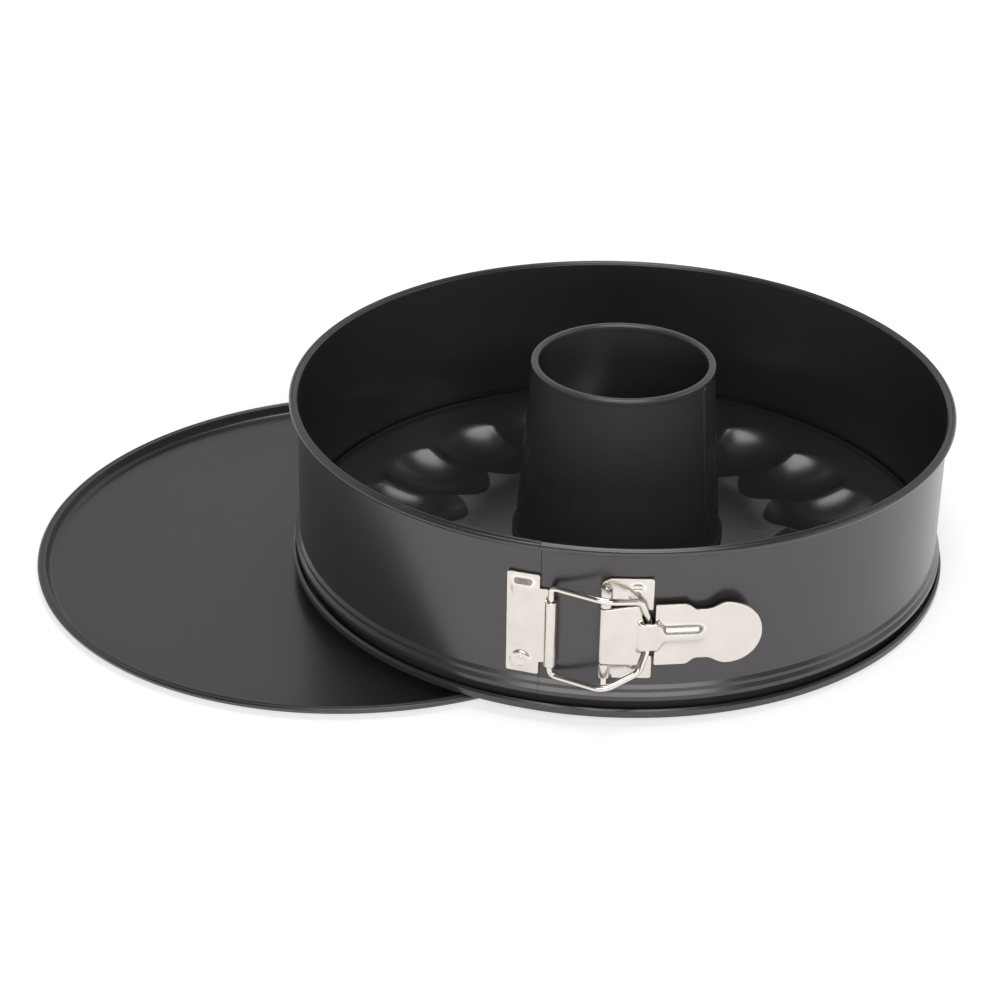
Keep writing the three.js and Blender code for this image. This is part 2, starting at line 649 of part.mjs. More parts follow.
const pan = new THREE.Group();
pan.name = 'pan';
pan.add(named('tube_base_plate', baseGeometry, { ...coated, color: 0x39393b }));
pan.add(named('centre_tube', fromSolid(tubeBody), { ...coated, color: 0x363638 }));
pan.add(named('ring_band_left', fromSolid(ringLeft), { ...coated, color: 0x404042 }));
pan.add(named('ring_band_right', fromSolid(ringRightBody), { ...coated, color: 0x414143 }));
pan.add(named('keeper_plate', fromSolid(keeperSolid()), nickel));
pan.add(named('lever_bracket', fromSolid(bracketSolid()), { ...nickel, color: 0xccc5ba }));
const [keeperUp, keeperDown] = rivetSites(keeperRivets);
pan.add(named('keeper_rivet_upper', rivet(KEEPER_AZ, keeperUp), { ...nickel, roughness: 0.35 }));
pan.add(named('keeper_rivet_lower', rivet(KEEPER_AZ, keeperDown), { ...nickel, roughness: 0.35 }));
const [bracketUp, bracketDown] = rivetSites(bracketRivets);
pan.add(named('bracket_rivet_upper', rivet(BRACKET_AZ, bracketUp), { ...nickel, roughness: 0.36 }));
pan.add(named('bracket_rivet_lower', rivet(BRACKET_AZ, bracketDown), { ...nickel, roughness: 0.36 }));
const pinLength = knuckleTo + PIN_OVER;
const pin = upright(PIN_R, -pinLength, pinLength, 0, PIN_OFF);
pan.add(named('hinge_pin', placed(pin, PIN_AZ), { ...nickel, color: 0xbdb7ad }));
pan.add(named('lever', leverClosed(), { ...nickel, color: 0xd2cbc0 }));
const bail = wireLoop(bailPath(), WIRE_R, WIRE_SIDES);
pan.add(named('wire_bail', placed(bail, PIN_AZ), { ...nickel, color: 0xd6d0c6, roughness: 0.22 }));
pan.rotation.y = lean;
pan.position.z = FLANGE_OUT * Math.sin(lean);

const spare = new THREE.Group();
spare.name = 'spare';
const flatGeometry = revolveDisc(flatOutline, PLATE_SEGMENTS);
spare.add(named('flat_base_plate', flatGeometry, { ...coated, color: 0x434345 }));
spare.position.set(FLAT_X, FLAT_Y, 0);

// The whole set stands with its origin under the middle of its box
const object = new THREE.Group();
object.name = 'springform_tube_pan';
object.add(pan, spare);
object.updateMatrixWorld(true);
const box = new THREE.Box3().setFromObject(object, true);
const shift = box.getCenter(new THREE.Vector3()).setZ(box.min.z);
object.position.sub(shift);
object.updateMatrixWorld(true);

export default object;
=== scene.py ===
"""Springform tube pan with a spare flat base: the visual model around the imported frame."""
import json
import math

import bmesh
import bpy
import numpy as np
from mathutils import Matrix, Vector
from mathutils.geometry import delaunay_2d_cdt


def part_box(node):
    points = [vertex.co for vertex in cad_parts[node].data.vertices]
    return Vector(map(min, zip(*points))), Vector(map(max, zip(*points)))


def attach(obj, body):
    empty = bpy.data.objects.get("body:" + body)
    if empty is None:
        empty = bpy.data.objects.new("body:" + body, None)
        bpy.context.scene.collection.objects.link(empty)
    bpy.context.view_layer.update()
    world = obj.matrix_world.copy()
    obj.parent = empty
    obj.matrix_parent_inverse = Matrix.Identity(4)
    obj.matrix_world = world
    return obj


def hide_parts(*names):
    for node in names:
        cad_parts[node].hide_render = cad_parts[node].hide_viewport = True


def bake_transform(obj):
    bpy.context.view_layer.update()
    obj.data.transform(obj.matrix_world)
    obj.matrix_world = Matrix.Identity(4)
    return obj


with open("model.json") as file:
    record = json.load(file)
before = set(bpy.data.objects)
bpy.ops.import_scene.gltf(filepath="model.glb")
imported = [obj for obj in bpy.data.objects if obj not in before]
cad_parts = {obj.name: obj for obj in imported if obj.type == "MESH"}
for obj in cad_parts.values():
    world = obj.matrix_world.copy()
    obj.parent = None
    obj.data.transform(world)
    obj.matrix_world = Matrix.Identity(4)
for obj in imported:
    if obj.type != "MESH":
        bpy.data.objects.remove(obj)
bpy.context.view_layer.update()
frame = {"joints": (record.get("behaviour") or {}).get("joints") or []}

# Sizes in millimetres, mostly those of the solids
MM = 0.001
R_IN = 130.0
SHEET = 0.6
R_OUT = R_IN + SHEET
R_RIM = 133.6
RING_HEIGHT = 70.6
RIM_THICK = 2.3
RING_BOTTOM = 7.4
STEP_UPPER_Z = 12.0
STEP_LOWER_Z = 9.2
STEP_OUT = 0.95
SEAM_AZ = -14.0
SEAM_HALF = 0.04
RIM_JOINT_AZ = -38.5
TONGUE_SWEEP = 8.0
TONGUE_IN = 1.2
HINGE_R = 130.3
HINGE_Z = 38.0
FLOOR_Z = 9.2
PLATEAU_Z = 7.0
LIP_OUT = 133.7
LIP_TOP = 3.8
FLANGE_OUT = 132.6
LOBES = 18
LOBE_INNER = 63.0
LOBE_OUTER = 111.5
LOBE_HALF_ANGLE = 13.2
LOBE_DEPTH = 7.6
LOBE_END_SOFT = 4.5
LOBE_TURN = 0.9
LOBE_FADE = 15.0
TUBE_TOP_Z = 83.8
TUBE_TOP_R = 37.0
TUBE_FOOT_R = 42.2
TUBE_SEAM_AZ = 57.5
LATCH_Z = 36.5
PIN_AZ = -3.4
PIN_OFF = 3.0
PIN_R = 1.2
BARREL_R = 2.4
BARREL_HALF = 11.5
BRACKET_AZ = 0.7
KEEPER_AZ = -16.7
KEEPER_PIVOT_AZ = -12.0
KEEPER_PIVOT_OFF = 2.75
LEVER_CLOSE = 10.5
WIRE_R = 1.25
GAP = 0.3


def pan_matrix():
    """Pan axes in the row frame, from the joints: the pan leans on the flat base."""
    joints = {j["name"]: j for j in frame["joints"]}
    up = -Vector(joints["lever_flip"]["axis"]).normalized()
    back = Vector((0, 1, 0))
    right = back.cross(up).normalized()
    turn = Matrix((right, back, up)).transposed()
    hinge = Vector(joints["ring_spring"]["pos_m"])
    place = hinge - turn @ (Vector((0, HINGE_R, HINGE_Z)) * MM)
    return Matrix.Translation(place) @ turn.to_4x4() @ Matrix.Scale(MM, 4)


def flat_matrix():
    lo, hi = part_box("flat_base_plate")
    middle = (lo + hi) / 2
    return Matrix.Translation((middle.x, middle.y, lo.z)) @ Matrix.Scale(MM, 4)


PAN = pan_matrix()
FLAT = flat_matrix()


def latch_matrix(az):
    """Frame on the band's outer face: x along the band, y up, z outward."""
    a = math.radians(az)
    along = Vector((math.cos(a), math.sin(a), 0))
    out = Vector((math.sin(a), -math.cos(a), 0))
    matrix = Matrix((along, (0, 0, 1), out)).transposed().to_4x4()
    matrix.translation = out * R_OUT + Vector((0, 0, LATCH_Z))
    return PAN @ matrix


def add(name, verts, faces, matrix, look, crease=38):
    """New mesh piece from points in millimetres."""
    co = np.asarray(verts, float)
    turn = np.array(matrix)
    co = co @ turn[:3, :3].T + turn[:3, 3]
    mesh = bpy.data.meshes.new(name)
    mesh.from_pydata(co.tolist(), [], faces)
    bm = bmesh.new()
    bm.from_mesh(mesh)
    bmesh.ops.recalc_face_normals(bm, faces=bm.faces)
    bm.to_mesh(mesh)
    bm.free()
    mesh.shade_smooth()
    mesh.set_sharp_from_angle(angle=math.radians(crease))
    mesh.materials.append(look)
    obj = bpy.data.objects.new(name, mesh)
    bpy.context.scene.collection.objects.link(obj)
    return obj


# Most of a side that the curve at one of its corners may use
CORNER_SHARE = 0.48


def rounded(corners, steps=6):
    """Closed outline from (x, y, radius) corners, each corner eased by a curve of about that radius."""
    points = []
    count = len(corners)
    for i, (x, y, radius) in enumerate(corners):
        here = Vector((x, y))
        before = Vector(corners[i - 1][:2]) - here
        after = Vector(corners[(i + 1) % count][:2]) - here
        if radius <= 0:
            points.append((x, y))
            continue
        turn = before.angle(after)
        reach = radius / math.tan(turn / 2)
        reach = min(reach, CORNER_SHARE * before.length, CORNER_SHARE * after.length)
        a = here + before.normalized() * reach
        b = here + after.normalized() * reach
        for k in range(steps + 1):
            s = k / steps
            p = a * (1 - s) ** 2 + here * (2 * s * (1 - s)) + b * s ** 2
            points.append((p.x, p.y))
    return points


def polar(r, az, z):
    a = np.radians(az)
    return r * np.sin(a), -r * np.cos(a), z


def sweep(outline_at, azimuths, closed=False):
    """Closed (r, z) outline carried round the axis through the azimuths, capped unless it closes."""
    verts = [polar(r, az, z) for az in azimuths for r, z in outline_at(az)]
    rows = len(azimuths)
    count = len(verts) // rows
    faces = []
    for i in range(rows if closed else rows - 1):
        n = (i + 1) % rows
        for j in range(count):
            k = (j + 1) % count
            faces.append((i * count + j, n * count + j, n * count + k, i * count + k))
    if not closed:
        faces.append(tuple(range(count)))
        faces.append(tuple(range((rows - 1) * count, rows * count)))
    return verts, faces


def node(tree, kind, **values):
    made = tree.nodes.new(kind)
    for key, value in values.items():
        if key in made.inputs:
            made.inputs[key].default_value = value
        else:
            setattr(made, key, value)
    return made


def material(name):
    look = bpy.data.materials.new(name)
    look.use_nodes = True
    tree = look.node_tree
    tree.nodes.clear()
    shader = node(tree, "ShaderNodeBsdfPrincipled")
    out = node(tree, "ShaderNodeOutputMaterial")
    tree.links.new(shader.outputs["BSDF"], out.inputs["Surface"])
    return look, tree, shader


def ramp(tree, source, low, high, start=0.3, end=0.7):
    """Noise value spread between two colours or greys."""
    made = node(tree, "ShaderNodeValToRGB")
    made.color_ramp.elements[0].position = start
    made.color_ramp.elements[0].color = low
    made.color_ramp.elements[1].position = end
    made.color_ramp.elements[1].color = high
    tree.links.new(source, made.inputs["Fac"])
    return made


def grey(v):
    return (v, v, v, 1)


COATING_IOR = 1.70
COATING_TINT = (1.0, 0.975, 0.98, 1)
# Texture scales per metre
SPECKLE_SCALE = 2600.0
CLOUD_SCALE = 38.0
PEEL_SCALE = 900.0
NICKEL_FINE_SCALE = 650.0
NICKEL_CLOUD_SCALE = 120.0


def coating_look(name, low, high, rough_low, rough_high):
    """Satin non-stick coating: fine speckle, faint cloudiness and orange-peel relief."""
    look, tree, shader = material(name)
    coords = node(tree, "ShaderNodeTexCoord")
    speckle = node(tree, "ShaderNodeTexNoise", Scale=SPECKLE_SCALE, Detail=2.0, Roughness=0.6)
    cloud = node(tree, "ShaderNodeTexNoise", Scale=CLOUD_SCALE, Detail=4.0, Roughness=0.55)
    peel = node(tree, "ShaderNodeTexNoise", Scale=PEEL_SCALE, Detail=3.0, Roughness=0.5)
    for texture in (speckle, cloud, peel):
        tree.links.new(coords.outputs["Object"], texture.inputs["Vector"])
    tint = ramp(tree, speckle.outputs["Fac"], low, high, 0.35, 0.7)
    tree.links.new(tint.outputs["Color"], shader.inputs["Base Color"])
    rough = ramp(tree, cloud.outputs["Fac"], grey(rough_low), grey(rough_high))
    tree.links.new(rough.outputs["Color"], shader.inputs["Roughness"])
    bump = node(tree, "ShaderNodeBump", Strength=0.05, Distance=0.0002)
    tree.links.new(peel.outputs["Fac"], bump.inputs["Height"])
    tree.links.new(bump.outputs["Normal"], shader.inputs["Normal"])
    shader.inputs["Metallic"].default_value = 0.0
    shader.inputs["IOR"].default_value = COATING_IOR
    shader.inputs["Specular Tint"].default_value = COATING_TINT
    return look


def nickel_look(name, low, high, rough_low, rough_high):
    """Nickel plate on pressed sheet or drawn wire: cloudy polish, slight waviness and warm tint."""
    look, tree, shader = material(name)
    coords = node(tree, "ShaderNodeTexCoord")
    fine = node(tree, "ShaderNodeTexNoise", Scale=NICKEL_FINE_SCALE, Detail=3.0, Roughness=0.5)
    cloud = node(tree, "ShaderNodeTexNoise", Scale=NICKEL_CLOUD_SCALE, Detail=3.0, Roughness=0.5)
    for texture in (fine, cloud):
        tree.links.new(coords.outputs["Object"], texture.inputs["Vector"])
    tint = ramp(tree, cloud.outputs["Fac"], low, high)
    tree.links.new(tint.outputs["Color"], shader.inputs["Base Color"])
    rough = ramp(tree, fine.outputs["Fac"], grey(rough_low), grey(rough_high))
    tree.links.new(rough.outputs["Color"], shader.inputs["Roughness"])
    bump = node(tree, "ShaderNodeBump", Strength=0.03, Distance=0.0001)
    tree.links.new(cloud.outputs["Fac"], bump.inputs["Height"])
    tree.links.new(bump.outputs["Normal"], shader.inputs["Normal"])
    shader.inputs["Metallic"].default_value = 1.0
    return look


DARK_LOW = (0.0172, 0.0162, 0.0163, 1)
DARK_HIGH = (0.0222, 0.0209, 0.0211, 1)
# The tube's coating is painted lighter than the same coating on the ring and bases: painted light standing
# in for the front light on the tube
TUBE_PAINTED_LIGHT_LOW = (0.0315, 0.0297, 0.0297, 1)
TUBE_PAINTED_LIGHT_HIGH = (0.0365, 0.0344, 0.0344, 1)
SHEET_LOW = (0.675, 0.63, 0.585, 1)
SHEET_HIGH = (0.73, 0.68, 0.635, 1)
WIRE_LOW = (0.70, 0.66, 0.61, 1)
WIRE_HIGH = (0.77, 0.72, 0.67, 1)
RING_LOOK = coating_look("coating_ring", DARK_LOW, DARK_HIGH, 0.235, 0.26)
BASE_LOOK = coating_look("coating_base", DARK_LOW, DARK_HIGH, 0.215, 0.24)
# Tube coating in the lighter colours, with the front light painted in
TUBE_PAINTED_LIGHT_LOOK = coating_look("coating_tube_painted_light", TUBE_PAINTED_LIGHT_LOW, TUBE_PAINTED_LIGHT_HIGH, 0.265, 0.29)
FLAT_LOOK = coating_look("coating_flat", DARK_LOW, DARK_HIGH, 0.26, 0.28)
SHEET_LOOK = nickel_look("nickel_sheet", SHEET_LOW, SHEET_HIGH, 0.20, 0.27)
WIRE_LOOK = nickel_look("nickel_wire", WIRE_LOW, WIRE_HIGH, 0.10, 0.15)


def settle(obj, body, nodes):
    """Piece rides on a body and stands in for CAD nodes, which are hidden."""
    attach(obj, body)
    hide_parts(*nodes)
    return obj


# Ring band
RIM_TOP = RING_HEIGHT + 0.4
RIM_UNDER = RING_HEIGHT - RIM_THICK + 0.35
STEP_SLOPE = 1.45
RIM_FILLET = 2.3
TUCK_UPPER = 0.9
TUCK_LOWER = 0.85
RIM_LAP = 0.2


def band_outline(lap, tuck=1.0):
    """Rolled rim with a groove, plain wall and two sloped steps at the foot.

    lap lifts the inner roll of the rim; tuck lowers the foot's inner step to close the gap to the base.
    """
    r1 = R_OUT + STEP_OUT
    r2 = r1 + STEP_OUT
    top = RIM_TOP + lap
    corners = [
        (r2 - SHEET, RING_BOTTOM, 0.25),
        (r2, RING_BOTTOM, 0.25),
        (r2, STEP_LOWER_Z, 0.2),
        (r1, STEP_LOWER_Z + STEP_SLOPE, 0.15),
        (r1, STEP_UPPER_Z, 0.2),
        (R_OUT, STEP_UPPER_Z + STEP_SLOPE, 0.15),
        (R_OUT, RIM_UNDER + 0.15, RIM_FILLET),
        (R_RIM - 0.25, RIM_UNDER, 0.35),
        (R_RIM + 0.1, RIM_UNDER + 0.7, 0.4),
        (R_RIM + 0.1, RIM_TOP - 1.0, 0.5),
        (R_RIM - 0.45, RIM_TOP - 0.35, 0.5),
        (R_RIM - 1.1, RIM_TOP - 0.08, 0.35),
        (R_RIM - 1.45, RIM_TOP - 0.5, 0.1),
        (R_RIM - 2.2, top, 0.6),
        (R_IN + 0.9, top, 0.6),
        (R_IN, top - 1.0, 0.9),
        (R_IN, STEP_UPPER_Z - 0.2, 0.4),
        (r1 - SHEET, STEP_UPPER_Z - 0.55, 0.4),
        (r1 - SHEET, STEP_LOWER_Z - 0.2 - TUCK_UPPER * tuck, 0.2),
        (r2 - SHEET, STEP_LOWER_Z - 0.5 - TUCK_LOWER * tuck, 0.2),
    ]
    return rounded(corners, 6)


BAND = band_outline(0.0)
BAND_LAPPED = band_outline(RIM_LAP)
SPLIT_AZ = 96.0
JOINT_WIDTH = 0.1
TUCK_FROM = 28
TUCK_OVER = 5
left_azimuths = np.concatenate([
    np.linspace(-SPLIT_AZ, RIM_JOINT_AZ - JOINT_WIDTH, 79),
    np.linspace(RIM_JOINT_AZ, SEAM_AZ - SEAM_HALF, 34)])
right_azimuths = np.linspace(SEAM_AZ + SEAM_HALF, SPLIT_AZ, 151)
back_azimuths = np.linspace(SPLIT_AZ, 360 - SPLIT_AZ, 221)


def left_outline(az):
    """The rim's roll is lifted from its joint to the seam."""
    return BAND_LAPPED if az > RIM_JOINT_AZ - JOINT_WIDTH / 2 else BAND


def back_outline(az):
    """The band's foot stands off the base near the back, where the band bends as it opens."""
    return band_outline(0.0, min(1.0, max(0.0, (abs(az - 180) - TUCK_FROM) / TUCK_OVER)))


ring_left_piece = add("band_front_left", *sweep(left_outline, left_azimuths), PAN, RING_LOOK)
settle(ring_left_piece, "ring_left", ["ring_band_left"])
ring_right_piece = add("band_front_right", *sweep(lambda az: BAND, right_azimuths), PAN, RING_LOOK)
settle(ring_right_piece, "ring_right", ["ring_band_right"])
band_back = add("band_back", *sweep(back_outline, back_azimuths), PAN, RING_LOOK)
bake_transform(band_back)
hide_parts("ring_band_left", "ring_band_right")


TONGUE_ROOT = 1.2
TONGUE_JOGGLE = 1.1
TONGUE_MARGIN = 2


def tongue_outline(az):
    """Tongue of the right half inside the left half, joggled in at the seam."""
    share = min(1.0, max(0.0, (SEAM_AZ + TONGUE_ROOT - az) / TONGUE_JOGGLE))
    share = share * share * (3 - 2 * share)
    outer = R_OUT - TONGUE_IN * share - 0.02
    low = STEP_UPPER_Z + TONGUE_MARGIN
    high = RING_HEIGHT - RIM_THICK - TONGUE_MARGIN
    return rounded([
        (outer - SHEET, low, 0.2), (outer, low, 0.2), (outer, high, 0.2), (outer - SHEET, high, 0.2)], 3)


tongue_azimuths = np.linspace(SEAM_AZ - TONGUE_SWEEP, SEAM_AZ + TONGUE_ROOT, 41)
tongue = add("band_tongue", *sweep(tongue_outline, tongue_azimuths), PAN, RING_LOOK)
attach(tongue, "ring_right")


# Tube base
EDGE_OUT = R_OUT + STEP_OUT - SHEET - 0.06
HOLE_R = TUBE_FOOT_R + GAP
LOBE_MIDDLE = (LOBE_INNER + LOBE_OUTER) / 2
LOBE_SPAN = (LOBE_OUTER - LOBE_INNER) / 2
RIM_SOFT = 0.5
RIDGE_SOFT = 0.45
RISE_FROM = LOBE_INNER - 3
FLOOR_END = 126.0
STEPS_PER_LOBE = 28


def smoothstep(x, a, b):
    s = np.clip((x - a) / (b - a), 0, 1)
    return s * s * (3 - 2 * s)


def base_profile(az):
    """Radii and heights of the plate's upper face along one azimuth, with rows on the petal's rim."""
    pitch = 360 / LOBES
    off = abs((az - LOBE_TURN + pitch / 2) % pitch - pitch / 2)
    side = pitch / 2 - off
    off = pitch / 2 - math.sqrt(side * side + RIDGE_SOFT ** 2)
    full = 1 - (off / LOBE_HALF_ANGLE) ** 2
    reach = LOBE_SPAN * math.sqrt(full)
    r_in = LOBE_MIDDLE - reach
    r_out = LOBE_MIDDLE + reach
    end_soft = RIM_SOFT + LOBE_END_SOFT * max(0.0, 1 - (2 * off / pitch) ** 2)
    soft = np.linspace(-1, 1, 9)
    start, stop = r_in + RIM_SOFT, r_out - end_soft
    inner = (start + stop) / 2 - (stop - start) / 2 * np.cos(np.linspace(0, math.pi, 33)[1:-1])
    radii = np.concatenate([
        np.linspace(HOLE_R, r_in - RIM_SOFT, 8)[:-1], r_in + RIM_SOFT * soft, inner,
        r_out + end_soft * soft, np.linspace(r_out + end_soft, FLOOR_END, 8)[1:]])
    inside = reach - np.abs(radii - LOBE_MIDDLE)
    width = np.where(radii < LOBE_MIDDLE, RIM_SOFT, end_soft)
    eased = np.where(inside > width, inside, np.maximum(inside + width, 0) ** 2 / (4 * width))
    v = 1 - eased / reach
    rest = full * (1 - v * v)
    drop = LOBE_DEPTH * rest
    floor = PLATEAU_Z + (FLOOR_Z - PLATEAU_Z) * smoothstep(radii, RISE_FROM, RISE_FROM + LOBE_FADE)
    return radii, floor - drop


BASE_EDGE = rounded([
    (EDGE_OUT - 0.9, FLOOR_Z, 0.6),
    (EDGE_OUT, FLOOR_Z - 0.7, 0.4),
    (EDGE_OUT - 0.1, FLOOR_Z - 1.4, 0.3),
    (EDGE_OUT - 1.0, FLOOR_Z - 1.6, 0.3),
    (EDGE_OUT - 1.0, SHEET, 0.4),
    (FLANGE_OUT, SHEET, 0.5),
    (LIP_OUT - 1.2, 1.2, 0.3),
    (LIP_OUT - 1.3, LIP_TOP + 0.1, 0.3),
    (LIP_OUT - 0.95, LIP_TOP + 0.2, 0.2),
    (LIP_OUT, LIP_TOP - 0.45, 0.35),
    (LIP_OUT, 0.9, 0.6),
    (FLANGE_OUT - 0.2, 0.0, 0.6),
    (EDGE_OUT - 1.6, 0.0, 0.4),
    (EDGE_OUT - 1.6, FLOOR_Z - SHEET, 0.5),
    (FLOOR_END, FLOOR_Z - SHEET, 0.0),
    (FLOOR_END, FLOOR_Z, 0.0),
], 5)[:-2]


def base_outline(az):
    radii, heights = base_profile(az)
    upper = list(zip(radii, heights))
    lower = [(r, z - SHEET) for r, z in reversed(upper)]
    return upper + BASE_EDGE + lower


plate_azimuths = LOBE_TURN + np.arange(0, 360, 360 / LOBES / STEPS_PER_LOBE)
plate = add("petal_base", *sweep(base_outline, plate_azimuths, True), PAN, BASE_LOOK)
settle(plate, "tube_base", ["tube_base_plate"])


# Centre tube
LAP_RISE = 0.6
LAP_GROOVE = 0.3
LAP_FADE = 9.0
TUBE_BEAD_WIDE = 3.1
TUBE_BEAD_TALL = 2.6


def tube_outline(az):
    """Tapered tube with a rolled bead on top; its wall stands proud where the sheet laps."""
    turn = (az - TUBE_SEAM_AZ + 180) % 360 - 180
    risen = float(smoothstep(turn, -0.15, 0.15))
    lap = LAP_RISE * risen * (1 - float(smoothstep(turn, 0.6, LAP_FADE)))
    lap -= LAP_GROOVE * float(smoothstep(turn, -0.8, -0.3) * (1 - smoothstep(turn, -0.3, -0.1)))
    over = PLATEAU_Z + GAP
    low = PLATEAU_Z - SHEET - GAP
    foot = TUBE_FOOT_R
    top = TUBE_TOP_Z
    r = TUBE_TOP_R
    corners = [
        (foot - SHEET, low - 1.2, 0.2),
        (foot + 1.2, low - 1.2, 0.3),
        (foot + 1.2, low, 0.3),
        (foot, low, 0.1),
        (foot, over, 0.1),
        (foot + 1.15, over, 0.45),
        (foot + 1.3, over + 1.5, 0.8),
        (foot - 0.1 + lap, over + 3.0, 1.2),
        (r - 0.25 + lap, top - TUBE_BEAD_TALL - 0.3, 0.3),
        (r + 0.1, top - TUBE_BEAD_TALL, 1.0),
        (r + 0.1, top, 1.3),
        (r + 0.1 - TUBE_BEAD_WIDE, top, 1.3),
        (r + 0.1 - TUBE_BEAD_WIDE, top - TUBE_BEAD_TALL, 1.1),
        (r - 0.3 - SHEET, top - TUBE_BEAD_TALL, 0.3),
        (foot - SHEET, over + 1.8, 0.8),
    ]
    return rounded(corners, 6)


def tube_azimuths():
    """Even steps round the tube, with finer ones at the seam."""
    coarse = np.arange(0, 360, 2.0)
    fine = TUBE_SEAM_AZ + np.array(
        [-0.8, -0.55, -0.3, -0.2, -0.1, -0.05, 0.0, 0.05, 0.1, 0.15, 0.4, 0.8])
    far = np.abs((coarse - TUBE_SEAM_AZ + 180) % 360 - 180) > 1.0
    return np.sort(np.concatenate([coarse[far], fine]))


tube = add("tube_wall", *sweep(tube_outline, tube_azimuths(), True), PAN, TUBE_PAINTED_LIGHT_LOOK)
settle(tube, "tube_base", ["centre_tube"])


# Flat base
def disc(outline, steps):
    """Solid disc from an outline that starts and ends on the axis."""
    inner = outline[1:-1]
    count = len(inner)
    verts = [polar(r, 360 * i / steps, z) for i in range(steps) for r, z in inner]
    verts += [(0, 0, outline[0][1]), (0, 0, outline[-1][1])]
    low = steps * count
    faces = []
    for i in range(steps):
        n = (i + 1) % steps
        for j in range(count - 1):
            a, b = i * count + j, n * count + j
            faces.append((a, b, b + 1, a + 1))
        faces.append((low, n * count, i * count))
        faces.append((low + 1, i * count + count - 1, n * count + count - 1))
    return verts, faces


FLAT_R = LIP_OUT
DISC_TOP = 0.5
EDGE_FROM = 60.0
flat_edge = rounded([
    (EDGE_FROM, 0.0, 0),
    (FLAT_R - 4.4, 0.0, 0.8),
    (FLAT_R - 3.5, 2.3, 0.4),
    (FLAT_R - 0.4, 2.25, 0.6),
    (FLAT_R, 3.8, 0.5),
    (FLAT_R - 0.8, 4.4, 0.5),
    (FLAT_R - 1.4, 4.38, 0.2),
    (FLAT_R - 1.75, 4.1, 0.12),
    (FLAT_R - 2.1, 4.42, 0.2),
    (FLAT_R - 3.4, 4.42, 0.5),
    (FLAT_R - 4.7, DISC_TOP, 2.2),
    (EDGE_FROM, DISC_TOP, 0),
], 8)
rings_low = [(r, 0.0) for r in (0.0, 20.0, 40.0)]
rings_high = [(r, SHEET) for r in (40.0, 20.0, 0.0)]
flat = add("flat_disc", *disc(rings_low + flat_edge + rings_high, 360), FLAT, FLAT_LOOK)
settle(flat, "flat_base", ["flat_base_plate"])


# Stamped sheet pieces of the latch
def resample(points, pitch):
    """Closed outline with points about a pitch apart, corners kept."""
    out = []
    for i, a in enumerate(points):
        b = points[(i + 1) % len(points)]
        length = math.dist(a, b)
        parts = max(1, round(length / pitch))
        for k in range(parts):
            out.append((a[0] + (b[0] - a[0]) * k / parts, a[1] + (b[1] - a[1]) * k / parts))
    return np.array(out)


def inside_of(points, outline):
    x, y = points[:, 0][:, None], points[:, 1][:, None]
    a, b = outline, np.roll(outline, -1, 0)
    crosses = (a[:, 1] > y) != (b[:, 1] > y)
    slope = (b[:, 0] - a[:, 0]) / np.where(b[:, 1] == a[:, 1], 1e-12, b[:, 1] - a[:, 1])
    return (np.sum(crosses & (x < a[:, 0] + slope * (y - a[:, 1])), 1) % 2) == 1


def edge_distance(points, outline):
    a, b = outline, np.roll(outline, -1, 0)
    d = b - a
    rel = points[:, None, :] - a[None]
    s = np.clip(np.sum(rel * d, 2) / np.maximum(np.sum(d * d, 1), 1e-12), 0, 1)
    return np.min(np.linalg.norm(rel - s[..., None] * d, axis=2), 1)


def inset(loop, depth):
    """Closed counter-clockwise loop moved inward by a depth, corners mitred."""
    ahead = np.roll(loop, -1, 0) - loop
    ahead /= np.linalg.norm(ahead, axis=1)[:, None]
    inward = np.stack([-ahead[:, 1], ahead[:, 0]], 1)
    before = np.roll(inward, 1, 0)
    share = 1 + np.sum(inward * before, 1)
    return loop + depth * (inward + before) / share[:, None]


def stamped(outline, thick, edge, pitch, lift, bend):
    """Pressed sheet with rounded edges: outline in the flat (s, y), raised by lift and shaped by bend."""
    rim = resample(outline, pitch)
    area = np.sum(rim[:, 0] * np.roll(rim[:, 1], -1) - rim[:, 1] * np.roll(rim[:, 0], -1))
    if area < 0:
        rim = rim[::-1]
    angles = np.radians(np.linspace(0, 90, 5))
    loops = [inset(rim, edge * (1 - math.cos(a))) for a in angles]
    drops = [edge * (1 - math.sin(a)) for a in angles]
    inner = loops[-1]
    count = len(rim)
    lo, hi = rim.min(0), rim.max(0)
    xs = np.arange(lo[0] + pitch / 2, hi[0], pitch)
    ys = np.arange(lo[1] + pitch / 2, hi[1], pitch)
    grid = np.stack(np.meshgrid(xs, ys), -1).reshape(-1, 2)
    grid = grid[inside_of(grid, inner)]
    grid = grid[edge_distance(grid, inner) > 0.4 * pitch]
    around = [(i, (i + 1) % count) for i in range(count)]
    middle, _, tris, origin, _, _ = delaunay_2d_cdt(
        [Vector(p) for p in np.concatenate([inner, grid])], around, [], 1, 1e-6)
    from_rim = {source: i for i, sources in enumerate(origin) for source in sources if source < count}
    rows = [(s, y, drop) for loop, drop in zip(loops[:-1], drops) for s, y in loop]
    rows += [(p.x, p.y, 0.0) for p in middle]
    base = count * (len(loops) - 1)
    verts = [bend(s, y, thick + lift(s, y) - drop) for s, y, drop in rows]
    verts += [bend(s, y, lift(s, y) + drop) for s, y, drop in rows]
    half = len(rows)

    def at(k, i):
        return k * count + i if k < len(loops) - 1 else base + from_rim[i]

    faces = [tuple(base + i for i in t) for t in tris]
    for k in range(len(loops) - 1):
        faces += [(at(k, i), at(k, j), at(k + 1, j), at(k + 1, i)) for i, j in around]
    faces += [tuple(half + i for i in reversed(f)) for f in faces]
    faces += [(j, i, half + i, half + j) for i, j in around]
    return verts, faces


